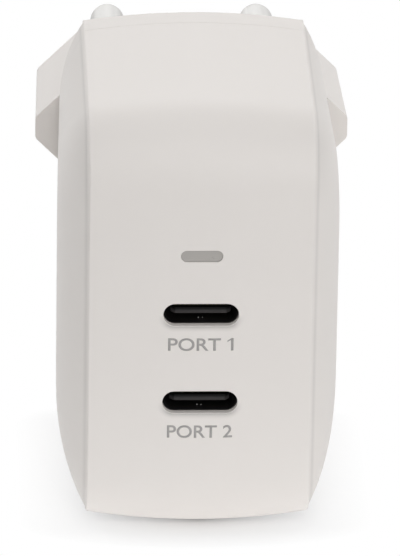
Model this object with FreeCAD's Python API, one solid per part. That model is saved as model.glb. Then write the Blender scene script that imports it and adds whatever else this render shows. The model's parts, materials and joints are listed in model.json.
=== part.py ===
import FreeCAD, Part
import math
import os

# A two-port wall charger: a crowned band runs over the top, front and foot, bulged
# caps close the sides, and a flat two-pin plug stands out of the back.
# Millimetres. X is to the right, Y from the front to the pins, Z up from the foot.
# While it is modelled, Y is 0 at the crest of the front face.

# Housing
BODY_HEIGHT = 50.6            # foot to the crest of the top
BODY_DEPTH = 33.3             # crest of the front to the flat back
BODY_WIDTH = 31.7             # over both side caps
BAND_WIDTH = 25.2             # crease to crease
BAND_CROWN = 1.0              # rise of the band from its edges to its middle
BAND_STEP = 0.45              # how far the band stands above the caps at the crease
BAND_EDGE_RADIUS = 0.35
CAP_RUN = 10.2                # distance over which a cap rolls out to its full width
CAP_STEPS = 6                 # lofted stretches from the crease to the flat side
SIDE_TAPER = 0.7              # how far a flat side draws in from its widest line to the back
FRONT_TOP_RADIUS = 8.0
FRONT_BOTTOM_RADIUS = 7.4
BACK_RIM_RADIUS = 0.3
BACK_CORNER_RADIUS = 1.5      # soft upright edges of the back
BACK_CORNER_CUT = 1.3         # how far the soft edges reach in from the sides
FOOT_SAG = 0.25               # crown taken off below to stand the charger on a flat
WALL = 1.8
SEAM_FROM_BACK = 3.4          # parting line between front casing and rear cover
SEAM_GAP = 0.04
LIP_DEPTH = 2.5
LIP_WALL = 1.2
LIP_CLEARANCE = 0.08
BACK_PLATE = 2.0

# Plug
PLUG_WIDTH = 35.8
PLUG_HEIGHT = 13.7
PLUG_DEPTH = 15.4
PLUG_END_FLAT = 2.6           # height of the flat at each pointed end
PLUG_SLOPE = 45.0             # degrees of the sloping sides
PLUG_DRAFT = 0.45             # how much each side draws in towards the pins
PLUG_CORNER_RADIUS = 0.9
PLUG_RIM_RADIUS = 0.7
PLUG_WALL = 2.0
PLUG_FACE_WALL = 3.0
PLUG_FROM_TOP = 14.35         # crest of the top down to the pin axes

# Contact pins
PIN_DIAMETER = 4.0
PIN_LENGTH = 19.0
PIN_SPACING_ROOT = 18.6
PIN_SPACING_TIP = 17.5
PIN_NECK_DIAMETER = 3.0
PIN_TAIL_DIAMETER = 2.4
PIN_TAIL_LENGTH = 2.6
PIN_SHOULDER_DIAMETER = 5.0
PIN_SHOULDER_THICKNESS = 1.0
PIN_BOSS_DIAMETER = 6.8
PIN_BOSS_DEPTH = 6.0          # from the plug face inwards
PIN_FIT = 0.01
PIN_MOUTH_CHAMFER = 0.3       # lead-in round each pin on the plug face
SLEEVE_DIAMETER = 3.6
SLEEVE_LENGTH = 10.0
SLEEVE_SEAT = 1.0
STRIP_THICKNESS = 0.5
STRIP_WIDTH = 3.0
STRIP_EYE_DIAMETER = 4.6
STRIP_REACH = 1.45            # pin axis to the near face of the strip leg
STRIP_CLEARANCE = 0.1
STRIP_END_SETBACK = 0.4       # strip end behind the front of the main board

# Ports and indicator in the front
PORT_OPENING_WIDTH = 8.34
PORT_OPENING_HEIGHT = 2.56
PORT_SHELL_WALL = 0.3
PORT_SHELL_CLEARANCE = 0.08
PORT_UPPER_Z = 27.65
PORT_PITCH = 10.7
PORT_RECESS = 0.85            # housing wall in front of the port shell
SLOT_MARGIN = 0.05
SLOT_CHAMFER = 0.12
TONGUE_WIDTH = 6.69
TONGUE_THICKNESS = 0.7
TONGUE_SETBACK = 0.6
TONGUE_ROOT_THICKNESS = 1.2
TONGUE_ROOT_LENGTH = 1.4
TONGUE_CORNER = 0.5
PORT_DEPTH = 5.9              # shell front to the block behind the tongue
CONTACT_COUNT = 12
CONTACT_PITCH = 0.5
CONTACT_WIDTH = 0.27
CONTACT_THICKNESS = 0.06
CONTACT_SETBACK = 0.8
CONTACT_LENGTH = 3.0
SHELL_LEG_WIDTH = 1.4
SHELL_LEG_LENGTH = 1.8
LIGHT_WIDTH = 4.6
LIGHT_HEIGHT = 1.3
LIGHT_Z = 34.8
LIGHT_CLEARANCE = 0.04
LIGHT_SETBACK = 0.05
LIGHT_FLANGE = 0.8
LIGHT_FLANGE_THICKNESS = 0.9
LED_WIDTH = 3.2
LED_HEIGHT = 1.6
LED_THICKNESS = 0.7
LED_LENS_WIDTH = 2.24
LED_GAP = 0.15

# Boards
BOARD_THICKNESS = 1.6
PORT_BOARD_THICKNESS = 1.2
PORT_BOARD_Y = 9.0            # crest of the front to the port board
PORT_BOARD_MARGIN = 1.7
BOARD_CLEARANCE = 0.3
BOARD_STANDOFF = 2.4
POST_DIAMETER = 2.8
PEG_DIAMETER = 1.5
PEG_CLEARANCE = 0.1
PEG_LENGTH = 0.8              # beyond the board
POST_FROM_EDGE = 1.7          # post axis to the edge of its board
LEAD_DIAMETER = 0.6
LEAD_LENGTH = 0.8             # beyond the board
LEAD_CLEARANCE = 0.1

# Parts on the boards
CORE_WIDTH = 16.0
CORE_LENGTH = 10.6
CORE_HEIGHT = 10.0
CORE_LEG = 2.6
CORE_CENTRE_DIAMETER = 6.4
BOBBIN_WALL = 0.7
BOBBIN_RAIL = 2.2
BOBBIN_PINS = 3
BOBBIN_PIN_PITCH = 4.6
BOBBIN_CLEARANCE = 0.1
WINDING_CLEARANCE = 0.3
PART_GAP = 1.0
BULK_DIAMETER = 8.6
BULK_HEIGHT = 12.0
BULK_LEAD_PITCH = 3.5
OUTPUT_DIAMETER = 5.0
OUTPUT_HEIGHT = 5.6
CAN_EDGE_RADIUS = 0.5
CAN_BEAD_DEPTH = 0.35
CAN_BEAD_HEIGHT = 0.9
CAN_VENT_WIDTH = 0.35
CAN_VENT_DEPTH = 0.15
FUSE_DIAMETER = 3.0
FUSE_LENGTH = 8.0
FUSE_CAP_LENGTH = 1.6
FUSE_CAP_WALL = 0.2
FUSE_HEIGHT = 2.2
FILM_WIDTH = 7.5
FILM_LENGTH = 4.6
FILM_HEIGHT = 7.6
FILM_EDGE_RADIUS = 0.5
FILM_LEAD_PITCH = 5.0
CHOKE_DIAMETER = 6.4
CHOKE_BORE = 3.4
CHOKE_HEIGHT = 3.4
CHOKE_WIRE = 0.6
CHOKE_CLEARANCE = 0.1
CHOKE_TURNS = 7
CHOKE_SECTOR = 130.0
DISC_DIAMETER = 6.2
DISC_THICKNESS = 2.6
DISC_LIFT = 1.2
DISC_LEAD_PITCH = 4.0
DISC_LEAD_GRIP = 1.5          # lead length inside the coat
DISC_EDGE_CHAMFER = 0.8
INDUCTOR_SIZE = 5.4
INDUCTOR_HEIGHT = 2.2
INDUCTOR_CORNER = 0.9
INDUCTOR_PAD = 0.1
INDUCTOR_PAD_WIDTH = 1.35
INDUCTOR_PAD_LENGTH = 3.2
INDUCTOR_PAD_FROM_EDGE = 0.3
BRIDGE_WIDTH = 6.0
BRIDGE_LENGTH = 4.8
BRIDGE_HEIGHT = 1.4
BRIDGE_PINS = 2
SWITCH_WIDTH = 6.0
SWITCH_LENGTH = 4.8
SWITCH_HEIGHT = 0.9
SWITCH_PINS = 4
RECTIFIER_WIDTH = 4.0
RECTIFIER_LENGTH = 4.0
RECTIFIER_HEIGHT = 1.0
RECTIFIER_PINS = 3
CONTROLLER_WIDTH = 3.6
CONTROLLER_LENGTH = 4.0
CONTROLLER_HEIGHT = 0.8
CONTROLLER_PINS = 5
CHIP_LEAD = 0.7
CHIP_LEAD_WIDTH = 0.5
CHIP_LEAD_THICKNESS = 0.2
CHIP_BEVEL = 0.2
LINK_PINS = 4
LINK_PITCH = 1.5
LINK_PIN = 0.5
LINK_BLOCK_WIDTH = 1.9
LINK_BLOCK_HEIGHT = 2.2

# Lines and places that follow from the sizes above
BAND_HALF = BAND_WIDTH / 2
BODY_HALF = BODY_WIDTH / 2
CREST_TOP = BODY_HEIGHT
CREST_BOTTOM = -FOOT_SAG
CAP_INSET = BAND_CROWN + BAND_STEP
CAP_FLAT_INSET = CAP_INSET + CAP_RUN
SEAM_Y = BODY_DEPTH - SEAM_FROM_BACK
SIDE_LEAN = SIDE_TAPER / (BODY_DEPTH - CAP_FLAT_INSET)
SEAM_HALF = BODY_HALF - SIDE_LEAN * (SEAM_Y - CAP_FLAT_INSET)
BACK_HALF = BODY_HALF - SIDE_TAPER
COVER_INSET = WALL + LIP_CLEARANCE + LIP_WALL
BOARD_INSET = COVER_INSET + BOARD_CLEARANCE
FRONT_INNER_Y = BAND_CROWN + WALL
COVER_INNER_Y = BODY_DEPTH - BACK_PLATE
MAIN_BOARD_BACK = COVER_INNER_Y - BOARD_STANDOFF
MAIN_BOARD_FRONT = MAIN_BOARD_BACK - BOARD_THICKNESS
PORT_BOARD_BACK = PORT_BOARD_Y + PORT_BOARD_THICKNESS
PLUG_FACE_Y = BODY_DEPTH + PLUG_DEPTH
PLUG_Z = CREST_TOP - PLUG_FROM_TOP
PIN_TILT = math.degrees(math.atan2((PIN_SPACING_ROOT - PIN_SPACING_TIP) / 2, PIN_LENGTH))
PORT_LOWER_Z = PORT_UPPER_Z - PORT_PITCH
SHELL_WIDTH = PORT_OPENING_WIDTH + 2 * PORT_SHELL_WALL
SHELL_HEIGHT = PORT_OPENING_HEIGHT + 2 * PORT_SHELL_WALL
BOBBIN_LENGTH = CORE_LENGTH + 2 * BOBBIN_RAIL
CHOKE_OUTER = CHOKE_DIAMETER + 2 * CHOKE_WIRE + 2 * CHOKE_CLEARANCE

# Rows of parts on the main board, spread evenly between its foot and its top
BOARD_LOW = CREST_BOTTOM + BAND_CROWN + BOARD_INSET
BOARD_HIGH = CREST_TOP - BAND_CROWN - BOARD_INSET
ROWS_HEIGHT = CHOKE_OUTER + BOBBIN_LENGTH + BULK_DIAMETER + FUSE_DIAMETER
ROW_GAP = (BOARD_HIGH - BOARD_LOW - ROWS_HEIGHT) / 5
LOW_ROW_Z = BOARD_LOW + ROW_GAP + CHOKE_OUTER / 2
TRANSFORMER_Z = LOW_ROW_Z + CHOKE_OUTER / 2 + ROW_GAP + BOBBIN_LENGTH / 2
BULK_Z = TRANSFORMER_Z + BOBBIN_LENGTH / 2 + ROW_GAP + BULK_DIAMETER / 2
FUSE_Z = BULK_Z + BULK_DIAMETER / 2 + ROW_GAP + FUSE_DIAMETER / 2
BOARD_FLAT_HALF = BAND_HALF - BOARD_INSET
COLUMN_GAP = (2 * (SEAM_HALF - BOARD_INSET) - CORE_WIDTH - DISC_THICKNESS) / 3
TRANSFORMER_X = BOARD_INSET - SEAM_HALF + COLUMN_GAP + CORE_WIDTH / 2
SIDE_X = SEAM_HALF - BOARD_INSET - COLUMN_GAP - DISC_THICKNESS / 2
CHOKE_X = CHOKE_OUTER / 2 - BOARD_FLAT_HALF
FILM_X = BOARD_FLAT_HALF - FILM_WIDTH / 2
BULK_X = (BULK_DIAMETER + PART_GAP) / 2

# Places on the port board
PORT_BOARD_INSET = WALL + PORT_BOARD_MARGIN
PORT_BOARD_LOW = CREST_BOTTOM + BAND_CROWN + PORT_BOARD_INSET
PORT_BOARD_HIGH = CREST_TOP - BAND_CROWN - PORT_BOARD_INSET
BETWEEN_PORTS_Z = PORT_UPPER_Z - PORT_PITCH / 2
ABOVE_PORTS_Z = PORT_UPPER_Z + PORT_PITCH / 2
OUTPUT_X = (OUTPUT_DIAMETER + 2 * PART_GAP) / 2
OUTPUT_Z = (PORT_BOARD_LOW + PORT_LOWER_Z) / 2
INDUCTOR_X = (INDUCTOR_SIZE + 2 * PART_GAP) / 2
CHIP_X = (RECTIFIER_WIDTH + CONTROLLER_WIDTH) / 4 + CHIP_LEAD + PART_GAP / 2
TOTAL_DEPTH = BODY_DEPTH + PLUG_DEPTH + PIN_LENGTH

X_AXIS = FreeCAD.Vector(1, 0, 0)
Y_AXIS = FreeCAD.Vector(0, 1, 0)
Z_AXIS = FreeCAD.Vector(0, 0, 1)
ORIGIN = FreeCAD.Vector(0, 0, 0)


def point(x, y, z):
    return FreeCAD.Vector(x, y, z)


def line(a, b):
    return Part.LineSegment(a, b).toShape()


def arc(a, middle, b):
    return Part.Arc(a, middle, b).toShape()


def corner_arc(a, b, centre):
    """Quarter arc or shorter from a to b about a centre."""
    radius = (a - centre).Length
    middle = (a + b) * 0.5 - centre
    middle.normalize()
    return arc(a, centre + middle * radius, b)


def block(x0, x1, y0, y1, z0, z1):
    return Part.makeBox(x1 - x0, y1 - y0, z1 - z0, point(x0, y0, z0))


def rod(diameter, y0, y1, x, z):
    """Cylinder along Y."""
    return Part.makeCylinder(diameter / 2, y1 - y0, point(x, y0, z), Y_AXIS)


def turned(profile):
    """Solid of revolution about Y from (radius, y) points."""
    points = [point(radius, y, 0) for radius, y in profile]
    face = Part.Face(Part.makePolygon(points + points[:1]))
    return face.revolve(ORIGIN, Y_AXIS, 360)


def mirrored(shape):
    return shape.mirror(ORIGIN, X_AXIS)


def moved(shape, x, y, z):
    copy = shape.copy()
    copy.translate(point(x, y, z))
    return copy


def stadium_wire(width, height, y, z):
    """Slot outline with round ends, across X at one Y."""
    radius = height / 2
    side = width / 2 - radius
    return Part.Wire([
        line(point(-side, y, z + radius), point(side, y, z + radius)),
        arc(point(side, y, z + radius), point(side + radius, y, z), point(side, y, z - radius)),
        line(point(side, y, z - radius), point(-side, y, z - radius)),
        arc(point(-side, y, z - radius), point(-side - radius, y, z), point(-side, y, z + radius)),
    ])


def stadium(width, height, y0, y1, z):
    return Part.Face(stadium_wire(width, height, y0, z)).extrude(point(0, y1 - y0, 0))


def side_outline(inset, x, shape_inset, lean=0):
    """Outline of the charger seen from the side, drawn in from the crest line.

    It starts at x in front and leans towards the middle on the way to the back.
    """
    def place(y, z):
        return point(x - lean * (y - inset), y, z)

    top = CREST_TOP - inset
    bottom = CREST_BOTTOM + inset
    upper = FRONT_TOP_RADIUS - shape_inset
    lower = FRONT_BOTTOM_RADIUS - shape_inset
    a = place(BODY_DEPTH, top)
    b = place(inset + upper, top)
    c = place(inset, top - upper)
    d = place(inset, bottom + lower)
    e = place(inset + lower, bottom)
    f = place(BODY_DEPTH, bottom)
    return Part.Wire([
        line(a, b),
        corner_arc(b, c, place(inset + upper, top - upper)),
        line(c, d),
        corner_arc(d, e, place(inset + lower, bottom + lower)),
        line(e, f),
        line(f, a),
    ])


def cap_bulge(x0, inset0, x1, inset1):
    """Radius and opening angle of the arc that rolls a cap out to its flat side."""
    reach = x1 - x0
    run = inset1 - inset0
    radius = (reach ** 2 + run ** 2) / (2 * reach)
    return radius, math.asin(run / radius)


def bulged_core(x0, inset0, x1, inset1):
    """Flat-sided core with a bulged cap on each side, filled."""
    radius, opening = cap_bulge(x0, inset0, x1, inset1)
    sections = []
    for step in range(CAP_STEPS + 1):
        angle = opening * (1 - step / CAP_STEPS)
        x = x1 - radius * (1 - math.cos(angle))
        lean = SIDE_LEAN * step / CAP_STEPS
        sections.append(side_outline(inset1 - radius * math.sin(angle), x, inset0, lean))
    cap = Part.makeLoft(sections, True, False)
    middle = Part.Face(side_outline(inset0, -x0, inset0)).extrude(point(2 * x0, 0, 0))
    return middle.multiFuse([cap, mirrored(cap)]).removeSplitter()


def crown_edge():
    """Points of the band's rounded edge: on its side, on the round, on the crown."""
    crown_radius = (BAND_HALF ** 2 + BAND_CROWN ** 2) / (2 * BAND_CROWN)
    x = BAND_HALF - BAND_EDGE_RADIUS
    drop = math.sqrt((crown_radius - BAND_EDGE_RADIUS) ** 2 - x ** 2) - crown_radius
    lean = math.atan2(x, drop + crown_radius)
    half = (math.pi / 2 + lean) / 2
    middle = (x + BAND_EDGE_RADIUS * math.sin(half), drop + BAND_EDGE_RADIUS * math.cos(half))
    crown = (crown_radius * math.sin(lean), crown_radius * (math.cos(lean) - 1))
    return (BAND_HALF, drop), middle, crown


def band_sweep():
    """Crowned strip swept over the top, down the front and under the foot."""
    side, middle, crown = crown_edge()
    base = -(BAND_CROWN + WALL)

    def place(x, rise):
        return point(x, BODY_DEPTH, CREST_TOP + rise)

    section = Part.Wire([
        line(place(-BAND_HALF, base), place(-side[0], side[1])),
        arc(place(-side[0], side[1]), place(-middle[0], middle[1]), place(-crown[0], crown[1])),
        arc(place(-crown[0], crown[1]), place(0, 0), place(crown[0], crown[1])),
        arc(place(crown[0], crown[1]), place(middle[0], middle[1]), place(side[0], side[1])),
        line(place(side[0], side[1]), place(BAND_HALF, base)),
        line(place(BAND_HALF, base), place(-BAND_HALF, base)),
    ])
    path = Part.Wire(side_outline(0, 0, 0).Edges[:5])
    return path.makePipeShell([section], True, False)


def back_outline(inset):
    """Barrel outline of the inside, across the charger, drawn in from the housing wall."""
    x0 = BAND_HALF - inset
    x1 = SEAM_HALF - inset
    inset0 = BAND_CROWN + inset
    radius, opening = cap_bulge(x0, inset0, x1, CAP_FLAT_INSET)
    reach = radius * (1 - math.cos(opening / 2))
    run = radius * math.sin(opening / 2)
    top = CREST_TOP - inset0
    bottom = CREST_BOTTOM + inset0
    high = CREST_TOP - CAP_FLAT_INSET
    low = CREST_BOTTOM + CAP_FLAT_INSET
    return Part.Wire([
        line(point(-x0, 0, top), point(x0, 0, top)),
        arc(point(x0, 0, top), point(x1 - reach, 0, high + run), point(x1, 0, high)),
        line(point(x1, 0, high), point(x1, 0, low)),
        arc(point(x1, 0, low), point(x1 - reach, 0, low - run), point(x0, 0, bottom)),
        line(point(x0, 0, bottom), point(-x0, 0, bottom)),
        arc(point(-x0, 0, bottom), point(-x1 + reach, 0, low - run), point(-x1, 0, low)),
        line(point(-x1, 0, low), point(-x1, 0, high)),
        arc(point(-x1, 0, high), point(-x1 + reach, 0, high + run), point(-x0, 0, top)),
    ])


def barrel(inset, y0, y1):
    """Straight plug of the inside of the housing between two depths."""
    face = Part.Face(back_outline(inset))
    return moved(face.extrude(point(0, y1 - y0, 0)), 0, y0, 0)


def housing_outer():
    """Whole outer form of the housing, filled, standing on its flat foot."""
    core = bulged_core(BAND_HALF, CAP_INSET, BODY_HALF, CAP_FLAT_INSET)
    solid = core.fuse(band_sweep()).removeSplitter()
    below = block(-BODY_WIDTH, BODY_WIDTH, -BODY_DEPTH, 2 * BODY_DEPTH, -BODY_HEIGHT, 0)
    return solid.cut(below)


def housing_inner():
    """Space inside the front casing."""
    return bulged_core(BAND_HALF - WALL, BAND_CROWN + WALL, BODY_HALF - WALL, CAP_FLAT_INSET)


def slab(y0, y1):
    return block(-BODY_WIDTH, BODY_WIDTH, y0, y1, -BODY_HEIGHT, 2 * BODY_HEIGHT)


def port_posts():
    """Places of the posts that carry the port board."""
    x = BAND_HALF - PORT_BOARD_INSET - POST_FROM_EDGE
    low = PORT_BOARD_LOW + POST_FROM_EDGE
    high = PORT_BOARD_HIGH - POST_FROM_EDGE
    return [(-x, low), (x, low), (-x, high), (x, high)]


def main_posts():
    """Places of the posts that carry the main board."""
    x = BOARD_FLAT_HALF - POST_FROM_EDGE
    high = BOARD_HIGH - POST_FROM_EDGE
    return [(-x, high), (x, high), (0, BOARD_LOW + POST_FROM_EDGE)]


def port_slot(z):
    """Way into a port: chamfered slot, then the pocket that holds the port shell."""
    width = PORT_OPENING_WIDTH + 2 * SLOT_MARGIN
    height = PORT_OPENING_HEIGHT + 2 * SLOT_MARGIN
    flare = 4 * SLOT_CHAMFER
    mouth = Part.makeLoft([
        stadium_wire(width + 2 * flare, height + 2 * flare, SLOT_CHAMFER - flare, z),
        stadium_wire(width, height, SLOT_CHAMFER, z),
    ], True, True)
    slot = stadium(width, height, SLOT_CHAMFER, FRONT_INNER_Y, z)
    room = 2 * PORT_SHELL_CLEARANCE
    pocket = stadium(SHELL_WIDTH + room, SHELL_HEIGHT + room, PORT_RECESS, FRONT_INNER_Y, z)
    return mouth.multiFuse([slot, pocket])


def front_casing(outer):
    """Moulded bucket: crowned band and side caps, open at the back."""
    body = outer.common(slab(-BODY_DEPTH, SEAM_Y - SEAM_GAP))
    body = body.cut(housing_inner())
    posts = []
    for x, z in port_posts():
        posts.append(rod(POST_DIAMETER, FRONT_INNER_Y / 2, PORT_BOARD_Y, x, z))
        posts.append(rod(PEG_DIAMETER, PORT_BOARD_Y, PORT_BOARD_BACK + PEG_LENGTH, x, z))
    body = body.multiFuse(posts)
    room = 2 * LIGHT_CLEARANCE
    window = stadium(LIGHT_WIDTH + room, LIGHT_HEIGHT + room, -BAND_CROWN, FRONT_INNER_Y, LIGHT_Z)
    return body.cut([port_slot(PORT_UPPER_Z), port_slot(PORT_LOWER_Z), window])


def plug_outline(draw, y):
    """Flat six-sided plug outline with rounded corners, drawn in all round."""
    half_width = PLUG_WIDTH / 2 - draw
    half_height = PLUG_HEIGHT / 2 - draw
    slope = math.radians(PLUG_SLOPE)
    end = PLUG_END_FLAT / 2 + draw * (math.sin(slope) - 1) / math.cos(slope)
    shoulder = half_width - (half_height - end) / math.tan(slope)
    corners = [
        (shoulder, half_height), (half_width, end), (half_width, -end),
        (shoulder, -half_height), (-shoulder, -half_height), (-half_width, -end),
        (-half_width, end), (-shoulder, half_height),
    ]
    edges = []
    start = None
    for index, corner in enumerate(corners):
        here = point(corner[0], y, PLUG_Z + corner[1])
        last = corners[index - 1]
        after = corners[(index + 1) % len(corners)]
        back = (point(last[0], y, PLUG_Z + last[1]) - here).normalize()
        ahead = (point(after[0], y, PLUG_Z + after[1]) - here).normalize()
        half = back.getAngle(ahead) / 2
        reach = PLUG_CORNER_RADIUS / math.tan(half)
        bisector = (back + ahead).normalize()
        centre = here + bisector * (PLUG_CORNER_RADIUS / math.sin(half))
        a = here + back * reach
        b = here + ahead * reach
        if edges:
            edges.append(line(edges[-1].Vertexes[-1].Point, a))
        else:
            start = a
        edges.append(corner_arc(a, b, centre))
    edges.append(line(edges[-1].Vertexes[-1].Point, start))
    return Part.Wire(edges)


def plug_block(draw, y0, y1):
    """Tapered plug body, or the room inside it."""
    def draft(y):
        return draw + PLUG_DRAFT * (y - BODY_DEPTH) / PLUG_DEPTH

    return Part.makeLoft([plug_outline(draft(y0), y0), plug_outline(draft(y1), y1)], True, True)


def edges_at(shape, y):
    """Edges that lie in one plane across Y."""
    found = []
    for edge in shape.Edges:
        box = edge.BoundBox
        if abs(box.YMin - y) < 1e-4 and abs(box.YMax - y) < 1e-4:
            found.append(edge)
    return found


def pin_place(shape):
    """Carries a shape drawn about the pin axis to the right-hand pin."""
    copy = shape.copy()
    copy.rotate(ORIGIN, Z_AXIS, PIN_TILT)
    return moved(copy, PIN_SPACING_ROOT / 2, PLUG_FACE_Y, PLUG_Z)


def contact_pin():
    """Turned pin: round tip, neck under the sleeve, shank, shoulder and tail."""
    tip = PIN_DIAMETER / 2
    neck = PIN_NECK_DIAMETER / 2
    shank = SLEEVE_DIAMETER / 2
    shoulder = PIN_SHOULDER_DIAMETER / 2
    tail = PIN_TAIL_DIAMETER / 2
    seat = -PIN_BOSS_DEPTH
    root = seat - PIN_SHOULDER_THICKNESS
    stem = turned([
        (0, PIN_LENGTH - tip), (tip, PIN_LENGTH - tip), (tip, SLEEVE_LENGTH), (neck, SLEEVE_LENGTH),
        (neck, -SLEEVE_SEAT), (shank, -SLEEVE_SEAT), (shank, seat), (shoulder, seat),
        (shoulder, root), (tail, root), (tail, root - PIN_TAIL_LENGTH), (0, root - PIN_TAIL_LENGTH),
    ])
    ball = Part.makeSphere(tip, point(0, PIN_LENGTH - tip, 0))
    return stem.fuse(ball).removeSplitter()


def pin_sleeve():
    """Insulating sleeve round the neck of a pin."""
    outer = SLEEVE_DIAMETER / 2
    inner = PIN_NECK_DIAMETER / 2
    return turned([
        (inner, -SLEEVE_SEAT), (outer, -SLEEVE_SEAT), (outer, SLEEVE_LENGTH), (inner, SLEEVE_LENGTH),
    ])


def contact_strip(room):
    """Stamped strip from the eye on a pin tail forward to the main board."""
    face = -(PIN_BOSS_DEPTH + PIN_SHOULDER_THICKNESS)
    back = face - STRIP_THICKNESS
    half = STRIP_WIDTH / 2 + room
    forward = MAIN_BOARD_FRONT + STRIP_END_SETBACK - PLUG_FACE_Y
    eye = rod(STRIP_EYE_DIAMETER, back, face, 0, 0)
    far = -STRIP_REACH - STRIP_THICKNESS
    arm = block(far, 0, back, face, -half, half)
    run = block(far - room, room - STRIP_REACH, forward - 2 * room, face, -half, half)
    hole = rod(PIN_TAIL_DIAMETER + 2 * PIN_FIT, back, face, 0, 0)
    return eye.multiFuse([arm, run]).removeSplitter().cut(hole)


def pin_bore():
    """Bore for the right-hand pin, with a lead-in where it opens on the plug face."""
    width = SLEEVE_DIAMETER + 2 * PIN_FIT
    bore = rod(width, -PIN_BOSS_DEPTH - PLUG_FACE_WALL, PLUG_RIM_RADIUS, 0, 0)
    depth = PIN_MOUTH_CHAMFER
    mouth = Part.makeCone(width / 2, width / 2 + 2 * depth, 2 * depth, point(0, -depth, 0), Y_AXIS)
    return pin_place(bore.fuse(mouth))


def rounded_back():
    """Smooth block round the back of the housing, with the soft rim of the flat back."""
    radius, opening = cap_bulge(BAND_HALF, BAND_CROWN, BODY_HALF, CAP_FLAT_INSET)
    reach = radius * (1 - math.cos(opening / 2))
    run = radius * math.sin(opening / 2)
    edges = []
    for crest, down in ((CREST_TOP, -1), (CREST_BOTTOM, 1)):
        corner = crest + down * BAND_CROWN
        flat = crest + down * CAP_FLAT_INSET
        left = point(-BAND_HALF, SEAM_Y, corner)
        right = point(BAND_HALF, SEAM_Y, corner)
        edges.append(arc(left, point(0, SEAM_Y, crest), right))
        for side in (-1, 1):
            bulge = point(side * (BODY_HALF - reach), SEAM_Y, flat - down * run)
            start = point(side * BAND_HALF, SEAM_Y, corner)
            edges.append(arc(start, bulge, point(side * BODY_HALF, SEAM_Y, flat)))
    for side in (-1, 1):
        high = point(side * BODY_HALF, SEAM_Y, CREST_TOP - CAP_FLAT_INSET)
        edges.append(line(high, point(side * BODY_HALF, SEAM_Y, CREST_BOTTOM + CAP_FLAT_INSET)))
    outline = Part.Wire(Part.sortEdges(edges)[0])
    solid = Part.Face(outline).extrude(point(0, SEAM_FROM_BACK, 0))
    return solid.makeFillet(BACK_RIM_RADIUS, edges_at(solid, BODY_DEPTH))


def back_corners():
    """Upright block round the back of the housing, with soft rear edges."""
    far = BACK_HALF - BACK_CORNER_CUT
    wide = far + BACK_CORNER_RADIUS
    start = BODY_DEPTH - BACK_CORNER_RADIUS
    low = CREST_BOTTOM - BAND_CROWN
    corners = [(-wide, start), (-far, BODY_DEPTH), (far, BODY_DEPTH), (wide, start)]
    a, b, c, d = (point(x, y, low) for x, y in corners)
    e, f = point(wide, SEAM_Y, low), point(-wide, SEAM_Y, low)
    outline = Part.Wire([
        corner_arc(a, b, point(-far, start, low)), line(b, c), corner_arc(c, d, point(far, start, low)),
        line(d, e), line(e, f), line(f, a),
    ])
    return Part.Face(outline).extrude(point(0, 0, BODY_HEIGHT + 2 * BAND_CROWN))


def rear_cover(outer):
    """Back plate with rim, joining lip, hollow plug and bosses for the pins."""
    rim = outer.common(rounded_back()).common(back_corners())
    lip = barrel(WALL + LIP_CLEARANCE, SEAM_Y - LIP_DEPTH, SEAM_Y + SEAM_GAP)
    plug = plug_block(0, BODY_DEPTH, PLUG_FACE_Y)
    plug = plug.makeFillet(PLUG_RIM_RADIUS, edges_at(plug, PLUG_FACE_Y))
    root = plug_block(PLUG_WALL / 2, COVER_INNER_Y, BODY_DEPTH + PLUG_WALL)
    root = root.common(barrel(WALL, COVER_INNER_Y, BODY_DEPTH + PLUG_WALL))
    body = rim.multiFuse([lip, plug, root])
    room = plug_block(PLUG_WALL, COVER_INNER_Y - BACK_PLATE, PLUG_FACE_Y - PLUG_FACE_WALL)
    room = room.common(barrel(COVER_INSET, COVER_INNER_Y - BACK_PLATE, PLUG_FACE_Y))
    inside = barrel(COVER_INSET, SEAM_Y - 2 * LIP_DEPTH, COVER_INNER_Y)
    body = body.cut([inside, room])
    solids = []
    for x, z in main_posts():
        solids.append(rod(POST_DIAMETER, MAIN_BOARD_BACK, BODY_DEPTH - BACK_PLATE / 2, x, z))
        solids.append(rod(PEG_DIAMETER, MAIN_BOARD_FRONT - PEG_LENGTH, MAIN_BOARD_BACK, x, z))
    boss = pin_place(rod(PIN_BOSS_DIAMETER, -PIN_BOSS_DEPTH, -PLUG_FACE_WALL / 2, 0, 0))
    solids += [boss, mirrored(boss)]
    body = body.multiFuse(solids).removeSplitter()
    bore = pin_bore()
    return body.cut([bore, mirrored(bore)])


def port_shell(z):
    """Drawn metal shell of a port, with a solder leg at each end."""
    outer = stadium(SHELL_WIDTH, SHELL_HEIGHT, PORT_RECESS, PORT_BOARD_Y, z)
    inner = stadium(PORT_OPENING_WIDTH, PORT_OPENING_HEIGHT, 0, PORT_BOARD_BACK, z)
    legs = [shell_leg(side, z, 0) for side in (-1, 1)]
    return outer.cut(inner).multiFuse(legs)


def shell_leg(side, z, room):
    """Flat solder leg of a port shell, or with room its slot in the board."""
    x = side * (SHELL_WIDTH - PORT_SHELL_WALL) / 2
    half = PORT_SHELL_WALL / 2 + room
    wide = SHELL_LEG_WIDTH / 2 + room
    end = PORT_BOARD_Y + SHELL_LEG_LENGTH + room
    return block(x - half, x + half, PORT_BOARD_Y - PORT_SHELL_WALL, end, z - wide, z + wide)


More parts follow.
